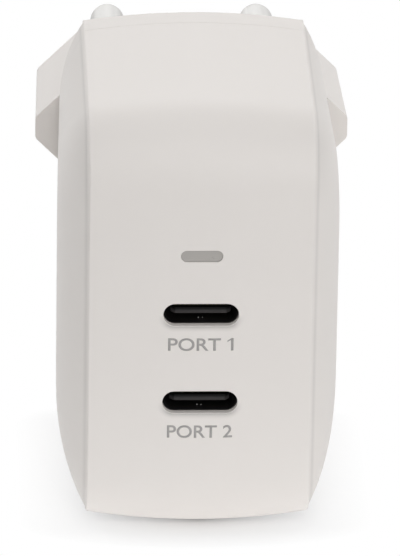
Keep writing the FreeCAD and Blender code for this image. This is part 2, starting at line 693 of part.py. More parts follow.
def port_tongue(z):
    """Moulded tongue of a port with the block that closes the shell behind it."""
    start = PORT_RECESS + PORT_DEPTH
    tip = PORT_RECESS + TONGUE_SETBACK
    half = TONGUE_WIDTH / 2
    room = 2 * PIN_FIT
    base = stadium(PORT_OPENING_WIDTH - room, PORT_OPENING_HEIGHT - room, start, PORT_BOARD_Y, z)
    blade = Part.Face(Part.makePolygon([
        point(-half, start, z), point(-half, tip + TONGUE_CORNER, z), point(-half + TONGUE_CORNER, tip, z),
        point(half - TONGUE_CORNER, tip, z), point(half, tip + TONGUE_CORNER, z), point(half, start, z),
        point(-half, start, z),
    ])).extrude(point(0, 0, TONGUE_THICKNESS))
    blade = moved(blade, 0, 0, -TONGUE_THICKNESS / 2)
    thick = TONGUE_ROOT_THICKNESS / 2
    root = block(-half, half, start - TONGUE_ROOT_LENGTH, start, z - thick, z + thick)
    return base.multiFuse([blade, root]).removeSplitter()


def port_contacts(z):
    """Two rows of flat contacts on the faces of a tongue."""
    first = -(CONTACT_COUNT - 1) * CONTACT_PITCH / 2 - CONTACT_WIDTH / 2
    y0 = PORT_RECESS + TONGUE_SETBACK + CONTACT_SETBACK
    y1 = y0 + CONTACT_LENGTH
    face = TONGUE_THICKNESS / 2
    rows = []
    for index in range(CONTACT_COUNT):
        x = first + index * CONTACT_PITCH
        above = z + face
        below = z - face - CONTACT_THICKNESS
        for bottom in (above, below):
            rows.append(block(x, x + CONTACT_WIDTH, y0, y1, bottom, bottom + CONTACT_THICKNESS))
    return Part.makeCompound(rows)


def light_guide(outer):
    """Clear bar that carries the indicator light to the front face."""
    bar = stadium(LIGHT_WIDTH, LIGHT_HEIGHT, -BAND_CROWN, FRONT_INNER_Y, LIGHT_Z)
    bar = bar.common(moved(outer, 0, LIGHT_SETBACK, 0))
    wide = LIGHT_WIDTH + 2 * LIGHT_FLANGE
    high = LIGHT_HEIGHT + 2 * LIGHT_FLANGE
    flange = stadium(wide, high, FRONT_INNER_Y, FRONT_INNER_Y + LIGHT_FLANGE_THICKNESS, LIGHT_Z)
    end = PORT_BOARD_Y - LED_THICKNESS - LED_GAP
    stem = stadium(LIGHT_WIDTH, LIGHT_HEIGHT, FRONT_INNER_Y, end, LIGHT_Z)
    return bar.multiFuse([flange, stem]).removeSplitter()


def indicator_led():
    """Small lamp on the port board, with its lens and two end pads."""
    half = LED_WIDTH / 2
    tall = LED_HEIGHT / 2
    top = PORT_BOARD_Y - LED_THICKNESS
    middle = PORT_BOARD_Y - LED_THICKNESS / 2
    inner = LED_LENS_WIDTH / 2
    body = block(-half, half, middle, PORT_BOARD_Y, LIGHT_Z - tall, LIGHT_Z + tall)
    lens = block(-inner, inner, top, middle, LIGHT_Z - tall, LIGHT_Z + tall)
    return body.fuse(lens)


def port_board():
    """Board behind the front face that carries both ports and the lamp."""
    board = barrel(PORT_BOARD_INSET, PORT_BOARD_Y, PORT_BOARD_BACK)
    cuts = []
    for x, z in port_posts():
        cuts.append(rod(PEG_DIAMETER + 2 * PEG_CLEARANCE, PORT_BOARD_Y, PORT_BOARD_BACK, x, z))
    for z in (PORT_UPPER_Z, PORT_LOWER_Z):
        cuts += [shell_leg(side, z, LEAD_CLEARANCE) for side in (-1, 1)]
    cuts += [link_pin(index, LEAD_CLEARANCE) for index in range(LINK_PINS)]
    return board.cut(cuts)


def main_board(leads):
    """Board on the rear cover, drilled for every lead that passes it."""
    board = barrel(BOARD_INSET, MAIN_BOARD_FRONT, MAIN_BOARD_BACK)
    cuts = []
    for x, z in main_posts():
        cuts.append(rod(PEG_DIAMETER + 2 * PEG_CLEARANCE, MAIN_BOARD_FRONT, MAIN_BOARD_BACK, x, z))
    for x, z in leads:
        cuts.append(rod(LEAD_DIAMETER + 2 * LEAD_CLEARANCE, MAIN_BOARD_FRONT, MAIN_BOARD_BACK, x, z))
    cuts += [link_pin(index, LEAD_CLEARANCE) for index in range(LINK_PINS)]
    slot = pin_place(contact_strip(STRIP_CLEARANCE))
    return board.cut(cuts + [slot, mirrored(slot)])


def lead(x, z, lift):
    """Wire lead from a part through the main board."""
    return rod(LEAD_DIAMETER, MAIN_BOARD_FRONT - lift, MAIN_BOARD_BACK + LEAD_LENGTH, x, z)


def pair(x, z, pitch):
    """Two lead places side by side across X."""
    return [(x - pitch / 2, z), (x + pitch / 2, z)]


def can_body(diameter, height):
    """Beaded capacitor can along Y: seal at 0, vented top at -height."""
    radius = diameter / 2
    edge = CAN_EDGE_RADIUS
    bead = 2 * CAN_BEAD_HEIGHT
    points = [
        (0, 0), (radius - edge, 0), (radius, -edge), (radius, -bead + CAN_BEAD_HEIGHT / 2),
        (radius - CAN_BEAD_DEPTH, -bead), (radius, -bead - CAN_BEAD_HEIGHT / 2),
        (radius, -height + edge), (radius - edge, -height), (0, -height),
    ]
    can = turned(points)
    half = CAN_VENT_WIDTH / 2
    reach = radius - 2 * edge
    depth = -height + CAN_VENT_DEPTH
    across = block(-reach, reach, -height, depth, -half, half)
    down = block(-half, half, -height, depth, -reach, reach)
    return can.cut([across, down])


def bulk_capacitor(x):
    """Reservoir capacitor on the main board with its two leads."""
    can = moved(can_body(BULK_DIAMETER, BULK_HEIGHT), x, MAIN_BOARD_FRONT, BULK_Z)
    return can.multiFuse([lead(px, pz, 0) for px, pz in pair(x, BULK_Z, BULK_LEAD_PITCH)])


def output_capacitor(x):
    """Output capacitor on the back of the port board."""
    can = can_body(OUTPUT_DIAMETER, OUTPUT_HEIGHT)
    can.rotate(ORIGIN, Z_AXIS, 180)
    return moved(can, x, PORT_BOARD_BACK, OUTPUT_Z)


def core_half(front):
    """One E-shaped ferrite half: back wall, two outer legs and a round centre leg."""
    middle = MAIN_BOARD_FRONT - BOBBIN_WALL - CORE_HEIGHT / 2
    half = CORE_WIDTH / 2
    long = CORE_LENGTH / 2
    tall = CORE_HEIGHT / 2
    wall = block(-half, half, tall - CORE_LEG, tall, -long, long)
    leg = block(half - CORE_LEG, half, 0, tall, -long, long)
    post = rod(CORE_CENTRE_DIAMETER, 0, tall, 0, 0)
    core = wall.multiFuse([leg, mirrored(leg), post]).removeSplitter()
    if front:
        core.rotate(ORIGIN, Z_AXIS, 180)
    return moved(core, TRANSFORMER_X, middle, TRANSFORMER_Z)


def bobbin_window():
    """Front and back of the room between the core's end walls."""
    back = MAIN_BOARD_FRONT - BOBBIN_WALL - CORE_LEG - BOBBIN_CLEARANCE
    front = back - CORE_HEIGHT + 2 * CORE_LEG + 2 * BOBBIN_CLEARANCE
    return front, back


def bobbin_leads():
    """Places of the bobbin's pins, one row above and one below."""
    row = CORE_LENGTH / 2 + BOBBIN_RAIL / 2
    first = TRANSFORMER_X - (BOBBIN_PINS - 1) * BOBBIN_PIN_PITCH / 2
    places = []
    for index in range(BOBBIN_PINS):
        x = first + index * BOBBIN_PIN_PITCH
        places += [(x, TRANSFORMER_Z - row), (x, TRANSFORMER_Z + row)]
    return places


def bobbin():
    """Moulded bobbin: spool round the centre leg, two flanges and two pin rails."""
    front, back = bobbin_window()
    bore = CORE_CENTRE_DIAMETER + 2 * BOBBIN_CLEARANCE
    hub = bore + 2 * BOBBIN_WALL
    width = CORE_WIDTH / 2 - CORE_LEG - BOBBIN_CLEARANCE
    long = CORE_LENGTH / 2 + BOBBIN_RAIL
    inner = CORE_LENGTH / 2 + BOBBIN_CLEARANCE
    spool = rod(hub, front, back, 0, 0)
    near = block(-width, width, back - BOBBIN_WALL, back, -long, long)
    far = block(-width, width, front, front + BOBBIN_WALL, -inner, inner)
    rails = []
    for z0, z1 in ((-long, -inner), (inner, long)):
        rails.append(block(-width, width, back - BOBBIN_WALL, MAIN_BOARD_FRONT, z0, z1))
    solid = spool.multiFuse([near, far] + rails).removeSplitter().cut(rod(bore, front, back, 0, 0))
    solid = moved(solid, TRANSFORMER_X, 0, TRANSFORMER_Z)
    return solid.multiFuse([lead(x, z, BOBBIN_WALL) for x, z in bobbin_leads()])


def transformer_winding():
    """Taped winding on the spool, between the flanges."""
    front, back = bobbin_window()
    hub = CORE_CENTRE_DIAMETER + 2 * BOBBIN_CLEARANCE + 2 * BOBBIN_WALL
    outer = CORE_WIDTH - 2 * CORE_LEG - 2 * WINDING_CLEARANCE
    coil = rod(outer, front + BOBBIN_WALL, back - BOBBIN_WALL, 0, 0)
    coil = coil.cut(rod(hub, front, back, 0, 0))
    return moved(coil, TRANSFORMER_X, 0, TRANSFORMER_Z)


def choke_core():
    """Ring core of the mains filter, lying flat over its windings' foot."""
    y1 = MAIN_BOARD_FRONT - CHOKE_WIRE - CHOKE_CLEARANCE
    ring = rod(CHOKE_DIAMETER, y1 - CHOKE_HEIGHT, y1, CHOKE_X, LOW_ROW_Z)
    return ring.cut(rod(CHOKE_BORE, y1 - CHOKE_HEIGHT, y1, CHOKE_X, LOW_ROW_Z))


def choke_winding():
    """Two windings of the mains filter, each a row of turns on half of the ring."""
    outer = CHOKE_DIAMETER / 2 + CHOKE_CLEARANCE
    inner = CHOKE_BORE / 2 - CHOKE_CLEARANCE
    front = -CHOKE_WIRE - CHOKE_HEIGHT - 2 * CHOKE_CLEARANCE
    turn = block(inner - CHOKE_WIRE, outer + CHOKE_WIRE, front - CHOKE_WIRE, 0, 0, CHOKE_WIRE)
    turn = turn.cut(block(inner, outer, front, -CHOKE_WIRE, 0, CHOKE_WIRE))
    turn = moved(turn, 0, 0, -CHOKE_WIRE / 2)
    turns = []
    for middle in (0, 180):
        for index in range(CHOKE_TURNS):
            copy = turn.copy()
            copy.rotate(ORIGIN, Y_AXIS, middle + CHOKE_SECTOR * (index / (CHOKE_TURNS - 1) - 0.5))
            turns.append(moved(copy, CHOKE_X, MAIN_BOARD_FRONT, LOW_ROW_Z))
    return Part.makeCompound(turns)


def film_capacitor():
    """Boxed film capacitor of the mains filter."""
    x = FILM_X
    z = LOW_ROW_Z
    half = FILM_WIDTH / 2
    deep = FILM_LENGTH / 2
    top = MAIN_BOARD_FRONT - FILM_HEIGHT
    box = block(x - half, x + half, top, MAIN_BOARD_FRONT, z - deep, z + deep)
    front = [edge for edge in box.Edges if edge.BoundBox.YMin < MAIN_BOARD_FRONT - FILM_EDGE_RADIUS]
    box = box.makeFillet(FILM_EDGE_RADIUS, front)
    return box.multiFuse([lead(px, pz, 0) for px, pz in pair(x, z, FILM_LEAD_PITCH)])


def line_fuse():
    """Glass fuse with end caps, standing on two bent leads."""
    y = MAIN_BOARD_FRONT - FUSE_HEIGHT
    half = FUSE_LENGTH / 2
    radius = FUSE_DIAMETER / 2
    glass = Part.makeCylinder(radius - FUSE_CAP_WALL, FUSE_LENGTH, point(-half, y, FUSE_Z), X_AXIS)
    solids = []
    for start in (-half, half - FUSE_CAP_LENGTH):
        solids.append(Part.makeCylinder(radius, FUSE_CAP_LENGTH, point(start, y, FUSE_Z), X_AXIS))
    for px, pz in pair(0, FUSE_Z, FUSE_LENGTH - FUSE_CAP_LENGTH):
        solids.append(lead(px, pz, FUSE_HEIGHT))
    return glass.multiFuse(solids)


def disc_leads():
    """Places of the disc capacitor's leads, one above the other."""
    z = TRANSFORMER_Z + DISC_DIAMETER / 2
    return [(SIDE_X, z - DISC_LEAD_PITCH / 2), (SIDE_X, z + DISC_LEAD_PITCH / 2)]


def disc_capacitor():
    """Dipped disc capacitor that bridges the two sides of the supply."""
    z = TRANSFORMER_Z + DISC_DIAMETER / 2
    y = MAIN_BOARD_FRONT - DISC_LIFT - DISC_DIAMETER / 2
    side = point(-DISC_THICKNESS / 2, 0, 0)
    disc = Part.makeCylinder(DISC_DIAMETER / 2, DISC_THICKNESS, side, X_AXIS)
    rims = [edge for edge in disc.Edges if len(edge.Vertexes) == 1]
    disc = disc.makeChamfer(DISC_EDGE_CHAMFER, rims)
    legs = [lead(px, pz, DISC_LIFT + DISC_LEAD_GRIP) for px, pz in disc_leads()]
    return moved(disc, SIDE_X, y, z).multiFuse(legs)


def inductor(x, z):
    """Moulded power inductor on the back of the port board, on two end pads."""
    half = INDUCTOR_SIZE / 2
    box = block(x - half, x + half, 0, INDUCTOR_HEIGHT - INDUCTOR_PAD, z - half, z + half)
    upright = [edge for edge in box.Edges if abs(edge.tangentAt(edge.FirstParameter).y) > 0.9]
    box = box.makeChamfer(INDUCTOR_CORNER, upright)
    pads = []
    wide = INDUCTOR_PAD_WIDTH / 2
    deep = INDUCTOR_PAD_LENGTH / 2
    for side in (-1, 1):
        middle = x + side * (half - INDUCTOR_PAD_FROM_EDGE - wide)
        pads.append(block(middle - wide, middle + wide, -INDUCTOR_PAD, 0, z - deep, z + deep))
    return moved(box.multiFuse(pads), 0, PORT_BOARD_BACK + INDUCTOR_PAD, 0)


def chip(width, length, height, pins):
    """Moulded chip with a row of flat leads along each side, drawn on a board face at 0."""
    half = width / 2
    deep = length / 2
    body = block(-half, half, 0, height, -deep, deep)
    top = edges_at(body, height)
    solids = [body.makeChamfer(min(CHIP_BEVEL, height / 4), top)]
    pitch = length / pins
    for index in range(pins):
        z0 = -deep + pitch * (index + 0.5) - CHIP_LEAD_WIDTH / 2
        reach = half + CHIP_LEAD
        solids.append(block(-reach, reach, 0, CHIP_LEAD_THICKNESS, z0, z0 + CHIP_LEAD_WIDTH))
    return solids[0].multiFuse(solids[1:]).removeSplitter()


def link_z(index):
    """Height of one pin in the row below the disc capacitor."""
    return TRANSFORMER_Z - PART_GAP - LINK_PITCH * (LINK_PINS - index - 0.5)


def link_pin(index, room):
    """Square pin from the port board to the main board, or with room its hole."""
    z = link_z(index)
    half = LINK_PIN / 2 + room
    y0 = PORT_BOARD_Y - room
    y1 = MAIN_BOARD_BACK + LEAD_LENGTH
    return block(SIDE_X - half, SIDE_X + half, y0, y1, z - half, z + half)


def board_link():
    """Row of square pins in a moulded block that joins the two boards."""
    low = link_z(0) - LINK_PITCH / 2
    high = link_z(LINK_PINS - 1) + LINK_PITCH / 2
    half = LINK_BLOCK_WIDTH / 2
    top = PORT_BOARD_BACK + LINK_BLOCK_HEIGHT
    strip = block(SIDE_X - half, SIDE_X + half, PORT_BOARD_BACK, top, low, high)
    return strip.multiFuse([link_pin(index, 0) for index in range(LINK_PINS)]).removeSplitter()


def build():
    """Makes every piece of the charger by its name."""
    outer = housing_outer()
    pin = pin_place(contact_pin())
    sleeve = pin_place(pin_sleeve())
    strip = pin_place(contact_strip(0))
    leads = pair(-BULK_X, BULK_Z, BULK_LEAD_PITCH) + pair(BULK_X, BULK_Z, BULK_LEAD_PITCH)
    leads += bobbin_leads() + disc_leads() + pair(FILM_X, LOW_ROW_Z, FILM_LEAD_PITCH)
    leads += pair(0, FUSE_Z, FUSE_LENGTH - FUSE_CAP_LENGTH)
    bridge = chip(BRIDGE_WIDTH, BRIDGE_LENGTH, BRIDGE_HEIGHT, BRIDGE_PINS)
    switch = chip(SWITCH_WIDTH, SWITCH_LENGTH, SWITCH_HEIGHT, SWITCH_PINS)
    rectifier = chip(RECTIFIER_WIDTH, RECTIFIER_LENGTH, RECTIFIER_HEIGHT, RECTIFIER_PINS)
    controller = chip(CONTROLLER_WIDTH, CONTROLLER_LENGTH, CONTROLLER_HEIGHT, CONTROLLER_PINS)
    bridge_z = TRANSFORMER_Z + (BRIDGE_LENGTH + PART_GAP) / 2
    switch_z = TRANSFORMER_Z - (SWITCH_LENGTH + PART_GAP) / 2
    pieces = {
        "front_casing": front_casing(outer),
        "rear_cover": rear_cover(outer),
        "contact_pin_right": pin,
        "contact_pin_left": mirrored(pin),
        "pin_sleeve_right": sleeve,
        "pin_sleeve_left": mirrored(sleeve),
        "contact_strip_right": strip,
        "contact_strip_left": mirrored(strip),
        "light_guide": light_guide(outer),
        "indicator_led": indicator_led(),
        "port_board": port_board(),
        "main_board": main_board(leads),
        "board_link": board_link(),
        "transformer_core_front": core_half(True),
        "transformer_core_rear": core_half(False),
        "transformer_bobbin": bobbin(),
        "transformer_winding": transformer_winding(),
        "bulk_capacitor_right": bulk_capacitor(BULK_X),
        "bulk_capacitor_left": bulk_capacitor(-BULK_X),
        "output_capacitor_right": output_capacitor(OUTPUT_X),
        "output_capacitor_left": output_capacitor(-OUTPUT_X),
        "filter_choke_core": choke_core(),
        "filter_choke_winding": choke_winding(),
        "film_capacitor": film_capacitor(),
        "disc_capacitor": disc_capacitor(),
        "line_fuse": line_fuse(),
        "buck_inductor_right": inductor(INDUCTOR_X, BETWEEN_PORTS_Z),
        "buck_inductor_left": inductor(-INDUCTOR_X, BETWEEN_PORTS_Z),
        "bridge_rectifier": moved(bridge, TRANSFORMER_X, MAIN_BOARD_BACK, bridge_z),
        "power_switch": moved(switch, TRANSFORMER_X, MAIN_BOARD_BACK, switch_z),
        "output_rectifier": moved(rectifier, CHIP_X, PORT_BOARD_BACK, ABOVE_PORTS_Z),
        "port_controller": moved(controller, -CHIP_X, PORT_BOARD_BACK, ABOVE_PORTS_Z),
    }
    for name, z in (("upper", PORT_UPPER_Z), ("lower", PORT_LOWER_Z)):
        pieces[name + "_port_shell"] = port_shell(z)
        pieces[name + "_port_tongue"] = port_tongue(z)
        pieces[name + "_port_contacts"] = port_contacts(z)
    return pieces


def main():
    os.makedirs("parts", exist_ok=True)
    for name, shape in build().items():
        shape.translate(point(0, -TOTAL_DEPTH / 2, 0))
        shape.exportStep("parts/" + name + ".step")
        valid = "valid" if shape.isValid() else "NOT VALID"
        print(name, valid, len(shape.Solids), "solids", round(shape.Volume, 2), "mm3")


main()
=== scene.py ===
import json
import logging
import math
from dataclasses import dataclass, replace
from enum import Enum

import bmesh
import bpy
from mathutils import Matrix, Vector


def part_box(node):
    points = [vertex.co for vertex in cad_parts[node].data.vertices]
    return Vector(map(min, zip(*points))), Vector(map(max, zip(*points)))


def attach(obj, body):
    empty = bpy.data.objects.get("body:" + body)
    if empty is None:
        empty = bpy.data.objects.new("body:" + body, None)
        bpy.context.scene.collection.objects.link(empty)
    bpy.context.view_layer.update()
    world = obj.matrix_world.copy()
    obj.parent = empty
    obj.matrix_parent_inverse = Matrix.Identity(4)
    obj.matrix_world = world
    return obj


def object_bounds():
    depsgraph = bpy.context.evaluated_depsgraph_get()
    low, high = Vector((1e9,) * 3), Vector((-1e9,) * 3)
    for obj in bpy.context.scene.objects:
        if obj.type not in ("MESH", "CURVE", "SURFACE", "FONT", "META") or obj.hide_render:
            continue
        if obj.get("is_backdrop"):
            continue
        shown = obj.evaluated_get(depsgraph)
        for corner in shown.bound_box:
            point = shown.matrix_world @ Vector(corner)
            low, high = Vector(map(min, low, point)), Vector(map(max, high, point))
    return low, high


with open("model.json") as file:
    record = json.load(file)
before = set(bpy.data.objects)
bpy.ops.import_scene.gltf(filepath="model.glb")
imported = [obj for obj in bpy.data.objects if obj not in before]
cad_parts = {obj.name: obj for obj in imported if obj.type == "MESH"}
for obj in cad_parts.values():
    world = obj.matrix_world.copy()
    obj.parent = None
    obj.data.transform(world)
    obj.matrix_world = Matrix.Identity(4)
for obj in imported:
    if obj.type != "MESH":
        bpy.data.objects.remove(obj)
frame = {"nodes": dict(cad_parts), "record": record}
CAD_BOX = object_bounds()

LOG = logging.getLogger("wall_charger")
MM = 0.001
ROOT = "root"
BAND_WIDTH = 25.2 * MM
SHOWN_RAYS = ("Is Camera Ray", "Is Glossy Ray", "Is Transmission Ray")
MIX_FACTOR, MIX_LOW, MIX_HIGH, MIX_RESULT = 0, 6, 7, 2
MIDDLE = 0.5
Colour = tuple[float, float, float]
BLACK: Colour = (0.0, 0.0, 0.0)


class Axis(Enum):
    """Direction that drawing lines or the turns of a winding follow."""

    X = "X"
    Y = "Y"
    Z = "Z"


class Side(Enum):
    """The two pieces of a pair."""

    LEFT = "left"
    RIGHT = "right"


class Level(Enum):
    """The two ports, one above the other."""

    UPPER = "upper"
    LOWER = "lower"

    def piece(self, name: str) -> str:
        """Full name of one of this port's pieces."""
        return f"{self.value}_port_{name}"


class Slot(Enum):
    """Material slots that the record gives to the pieces."""

    HOUSING = "housing"
    PIN_METAL = "pin_metal"
    SLEEVE = "sleeve"
    STRIP_BRASS = "strip_brass"
    LIGHT_GUIDE = "light_guide"
    LAMP = "lamp"
    BOARD = "board"
    BLACK_PLASTIC = "black_plastic"
    FERRITE = "ferrite"
    WINDING_TAPE = "winding_tape"
    CAN_SLEEVE = "can_sleeve"
    CAN_METAL = "can_metal"
    COPPER_WIRE = "copper_wire"
    FILM_BOX = "film_box"
    DISC_COAT = "disc_coat"
    FUSE_BODY = "fuse_body"
    IRON_POWDER = "iron_powder"
    PORT_METAL = "port_metal"
    CONTACT_GOLD = "contact_gold"


class Value:
    """A shader socket that adds Math nodes when it is used in an expression."""

    def __init__(self, graph: "Graph", socket: bpy.types.NodeSocket) -> None:
        """Keeps the socket with the graph that it belongs to."""
        self.graph = graph
        self.socket = socket

    def __add__(self, other: "Value | float") -> "Value":
        """Sum."""
        return self.graph.math("ADD", self, other)

    def __radd__(self, other: float) -> "Value":
        """Sum with a number in front."""
        return self.graph.math("ADD", other, self)

    def __sub__(self, other: "Value | float") -> "Value":
        """Difference."""
        return self.graph.math("SUBTRACT", self, other)

    def __rsub__(self, other: float) -> "Value":
        """Difference from a number."""
        return self.graph.math("SUBTRACT", other, self)

    def __mul__(self, other: "Value | float") -> "Value":
        """Product."""
        return self.graph.math("MULTIPLY", self, other)

    def __rmul__(self, other: float) -> "Value":
        """Product with a number in front."""
        return self.graph.math("MULTIPLY", other, self)

    def __truediv__(self, other: "Value | float") -> "Value":
        """Quotient."""
        return self.graph.math("DIVIDE", self, other)

    def __rtruediv__(self, other: float) -> "Value":
        """Quotient of a number."""
        return self.graph.math("DIVIDE", other, self)

    def __lt__(self, other: "Value | float") -> "Value":
        """1 where it is less, 0 elsewhere."""
        return self.graph.math("LESS_THAN", self, other)

    def __gt__(self, other: "Value | float") -> "Value":
        """1 where it is greater, 0 elsewhere."""
        return self.graph.math("GREATER_THAN", self, other)

    def __abs__(self) -> "Value":
        """Size without the sign."""
        return self.graph.math("ABSOLUTE", self)

    def at_least(self, lowest: "Value | float") -> "Value":
        """The greater of the two."""
        return self.graph.math("MAXIMUM", self, lowest)

    def at_most(self, highest: "Value | float") -> "Value":
        """The lesser of the two."""
        return self.graph.math("MINIMUM", self, highest)

    def root(self) -> "Value":
        """Square root."""
        return self.graph.math("SQRT", self)

    def eased(self) -> "Value":
        """Smooth step, for values from 0 to 1."""
        return self * self * (3.0 - 2.0 * self)


Given = Value | float | tuple


class Graph:
    """Node tree of a material or of the surround."""

    def __init__(self, tree: bpy.types.NodeTree) -> None:
        """Takes over a node tree and empties it."""
        self.tree = tree
        tree.nodes.clear()

    def node(
        self, kind: str, settings: dict[str, object] | None = None,
        inputs: dict[str | int, Given] | None = None,
    ) -> bpy.types.Node:
        """Adds one node.

        Args:
            kind: Blender's name for the type of node.
            settings: Properties of the node, set before its sockets.
            inputs: Numbers, colours or Values for its sockets, by name or place.

        Returns:
            The new node.
        """
        made = self.tree.nodes.new(kind)
        for name, setting in (settings or {}).items():
            setattr(made, name, setting)
        for name, given in (inputs or {}).items():
            if isinstance(given, Value):
                self.tree.links.new(given.socket, made.inputs[name])
            else:
                made.inputs[name].default_value = given
        return made

    def out(self, node: bpy.types.Node, name: str | int = 0) -> Value:
        """Output of a node, ready for expressions."""
        return Value(self, node.outputs[name])

    def math(self, operation: str, *given: Value | float) -> Value:
        """One Math node as a Value."""
        inputs = dict(enumerate(given))
        return self.out(self.node("ShaderNodeMath", {"operation": operation}, inputs))

    def place(self, stretch: Colour = (1.0, 1.0, 1.0)) -> Value:
        """Object coordinates in metres, stretched by a factor for each axis."""
        where = self.out(self.node("ShaderNodeTexCoord"), "Object")
        return self.out(self.node("ShaderNodeMapping", inputs={"Vector": where, "Scale": stretch}))

    def axes(self) -> tuple[Value, ...]:
        """X, Y and Z of the object coordinates."""
        parts = self.node("ShaderNodeSeparateXYZ", inputs={0: self.place()})
        return tuple(self.out(parts, axis.value) for axis in Axis)

    def noise(self, where: Value, feature: float, octaves: float = 2.0) -> Value:
        """Noise about the middle, with features of a real size in metres."""
        inputs = {"Vector": where, "Scale": 1 / feature, "Detail": octaves}
        return self.out(self.node("ShaderNodeTexNoise", inputs=inputs))

    def blend(self, share: Value, low: Value | Colour, high: Value | Colour) -> Value:
        """Colour between two others.

        Args:
            share: 0 for the first colour, 1 for the second.
            low: First colour.
            high: Second colour.

        Returns:
            The mixed colour.
        """
        ends = (end if isinstance(end, Value) else (*end, 1.0) for end in (low, high))
        inputs = dict(zip((MIX_FACTOR, MIX_LOW, MIX_HIGH), (share, *ends)))
        return self.out(self.node("ShaderNodeMix", {"data_type": "RGBA"}, inputs), MIX_RESULT)

    def bump(self, height: Value, depth: float) -> Value:
        """Normal for a height field of a real depth in metres."""
        return self.out(self.node("ShaderNodeBump", inputs={"Height": height, "Distance": depth}))

    def shown(self) -> Value:
        """Tells rays that show a surface from rays that light others.

        Returns:
            1 for rays from the camera, from a mirror or through glass, 0 for the rest.
        """
        path = self.node("ShaderNodeLightPath")
        camera, glossy, through = (self.out(path, ray) for ray in SHOWN_RAYS)
        return camera.at_least(glossy).at_least(through)

    def mixed(self, share: Value, first: bpy.types.Node, second: bpy.types.Node) -> Value:
        """Shader between two others, the first at a share of 0 and the second at 1."""
        inputs = {0: share, 1: self.out(first), 2: self.out(second)}
        return self.out(self.node("ShaderNodeMixShader", inputs=inputs))


def shade(colour: Colour, factor: float) -> Colour:
    """A colour made lighter or darker by one factor."""
    return tuple(min(1.0, channel * factor) for channel in colour)


def middle_z(node: str) -> float:
    """Height of the middle of a CAD piece."""
    low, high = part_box(node)
    return (low.z + high.z) / 2


def both_sides(*pieces: str) -> tuple[str, ...]:
    """Names of pieces that come as a left and a right one."""
    return tuple(f"{piece}_{side.value}" for piece in pieces for side in Side)


@dataclass(frozen=True)
class Finish:
    """What every finish has: a colour and how rough its surface is."""

    colour: Colour
    roughness: float

    def material(self, name: str) -> bpy.types.Material:
        """Makes the material.

        Args:
            name: Name of the material.

        Returns:
            The material, with this finish's sockets on a Principled shader.
        """
        made = bpy.data.materials.new(name)
        made.use_nodes = True
        graph = Graph(made.node_tree)
        shader = graph.node("ShaderNodeBsdfPrincipled", inputs=self.sockets(graph))
        graph.node("ShaderNodeOutputMaterial", inputs={"Surface": graph.out(shader)})
        return made

    def sockets(self, graph: Graph) -> dict[str, Given]:
        """Inputs of the shader, by name."""
        raise NotImplementedError


@dataclass(frozen=True)
class Moulded(Finish):
    """Moulded plastic: fine spark-eroded grain, faint flow marks and uneven gloss."""

    grain: float = 0.16 * MM
    grain_depth: float = 0.004 * MM
    grain_octaves: float = 3.0
    flow: float = 9 * MM
    mottle: float = 0.03
    gloss_spread: float = 0.10

    def sockets(self, graph: Graph) -> dict[str, Given]:
        """Mottles the colour, spreads the gloss and raises the grain.

        Args:
            graph: Node tree of the material.

        Returns:
            Inputs of the shader, by name.
        """
        where = graph.place()
        fine = graph.noise(where, self.grain, self.grain_octaves)
        broad = graph.noise(where, self.flow)
        dark, pale = (shade(self.colour, 1 + part) for part in (-self.mottle, self.mottle))
        spread = (fine - MIDDLE) * self.gloss_spread + (broad - MIDDLE) * self.gloss_spread
        return {
            "Base Color": graph.blend(broad, dark, pale),
            "Roughness": self.roughness + spread,
            "Normal": graph.bump(fine, self.grain_depth),
        }


@dataclass(frozen=True)
class HousingPlastic(Moulded):
    """Moulded plastic with painted shade in the creases, on the caps' shoulders and below the slots.
    """

    crease_at: float = BAND_WIDTH / 2 + 0.2 * MM
    crease_half: float = 0.3 * MM
    crease_shade: float = 0.12
    shoulder_width: float = 2.3 * MM
    shoulder_drop: float = 4.1 * MM
    shoulder_half: float = 8 * MM
    shoulder_shade: float = 0.09
    slot_half: float = 1.38 * MM
    slot_straight: float = 2.89 * MM
    slot_fade: float = 0.8 * MM
    slot_shade: float = 0.42
    back: float = -0.6 * MM

    def sockets(self, graph: Graph) -> dict[str, Given]:
        """Paints the shade into the colour of moulded plastic, but none on the back and the plug.

        Args:
            graph: Node tree of the material.

        Returns:
            Inputs of the shader, by name.
        """
        x, y, z = graph.axes()
        share = self.crease(x) + self.shoulder(x, z)
        for level in Level:
            share = share + self.below_slot(x, z, level)
        given = super().sockets(graph)
        # Painted shade: the base colour is darkened towards black by the share.
        shaded = graph.blend(share * (y < self.back), given["Base Color"], BLACK)
        return given | {"Base Color": shaded}

    def crease(self, x: Value) -> Value:
        """Share of painted shade in the creases beside the band, most in the middle of a crease."""
        off = abs(abs(x) - self.crease_at)
        return (1.0 - off / self.crease_half).at_least(0.0) * self.crease_shade

    def shoulder(self, x: Value, z: Value) -> Value:
        """Share of painted shade on the caps, where the band rolls over from the top to the front.

        Args:
            x: Distance to the right of the middle.
            z: Height.

        Returns:
            Most beside the crease, and none on the band.
        """
        out = abs(x) - self.crease_at
        near = (1.0 - out / self.shoulder_width).at_least(0.0) * (out > 0.0)
        off = abs(z - (CAD_BOX[1].z - self.shoulder_drop))
        level = (1.0 - off / self.shoulder_half).at_least(0.0)
        return near * level.eased() * self.shoulder_shade

    def below_slot(self, x: Value, z: Value, level: Level) -> Value:
        """Share of painted shadow under one port slot.

        Args:
            x: Distance to the right of the middle.
            z: Height.
            level: Which port it is.

        Returns:
            Most at the lower edge of the slot, and none on its walls or above it.
        """
        below = middle_z(level.piece("shell")) - z
        aside = (abs(x) - self.slot_straight).at_least(0.0)
        off = (aside * aside + below * below).root() - self.slot_half
        near = (1.0 - off / self.slot_fade).at_least(0.0) * (off > 0.0)
        under = (below / self.slot_half).at_least(0.0).at_most(1.0)
        return near * near * under * self.slot_shade


